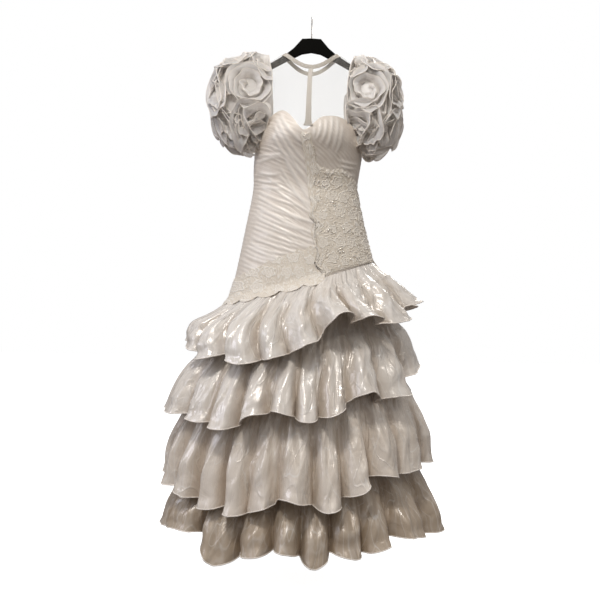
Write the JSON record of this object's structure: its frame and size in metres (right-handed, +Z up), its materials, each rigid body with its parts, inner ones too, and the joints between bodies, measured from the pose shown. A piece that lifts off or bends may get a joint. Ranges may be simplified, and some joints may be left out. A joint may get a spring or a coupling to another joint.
{
  "type": "wedding dress on a hanger",
  "caption": "Ivory wedding dress on a black hanger: ruched satin bodice with beaded lace, puff sleeves of ruffle roses, and a slanting skirt of gathered satin flounces.",
  "frame": {"origin": "top inside of the hanger's hook, where the rail carries it", "axes": "+Z up along the dress, the dress faces -Y, +X to the viewer's right (the wearer's left)"},
  "size_m": [0.8428, 0.6269, 1.5675],
  "materials": {
    "black_plastic": "satin",
    "steel_wire": "drawn wire",
    "ivory_satin": "liquid satin",
    "ivory_organza": "crisp sheen",
    "corded_lace": "corded, beaded",
    "pearl": "pearl",
    "illusion_net": "sheer net"
  },
  "bodies": {
    "root": {"hanger": "black_plastic", "hook": "steel_wire", "neck_band": "corded_lace", "neck_strip": "corded_lace", "neck_button": "pearl", "bodice_front": "ivory_satin", "bodice_back_left": "ivory_satin", "bodice_back_right": "ivory_satin", "lace_fall": "corded_lace", "lace_border_front": "corded_lace", "lace_border_back_left": "corded_lace", "lace_border_back_right": "corded_lace", "underskirt": "ivory_satin", "flounce_1": "ivory_satin", "flounce_2": "ivory_satin", "flounce_3": "ivory_satin", "flounce_4": "ivory_satin", "sleeve_left": "ivory_organza", "sleeve_left_rose_front_top": "ivory_organza", "sleeve_left_rose_front_low": "ivory_organza", "sleeve_left_rose_outer": "ivory_organza", "sleeve_left_rose_back": "ivory_organza", "sleeve_right": "ivory_organza", "sleeve_right_rose_front_top": "ivory_organza", "sleeve_right_rose_front_low": "ivory_organza", "sleeve_right_rose_outer": "ivory_organza", "sleeve_right_rose_back": "ivory_organza", "yoke_front": "illusion_net", "yoke_back_left": "illusion_net", "yoke_back_right": "illusion_net"}
  },
  "joints": []
}
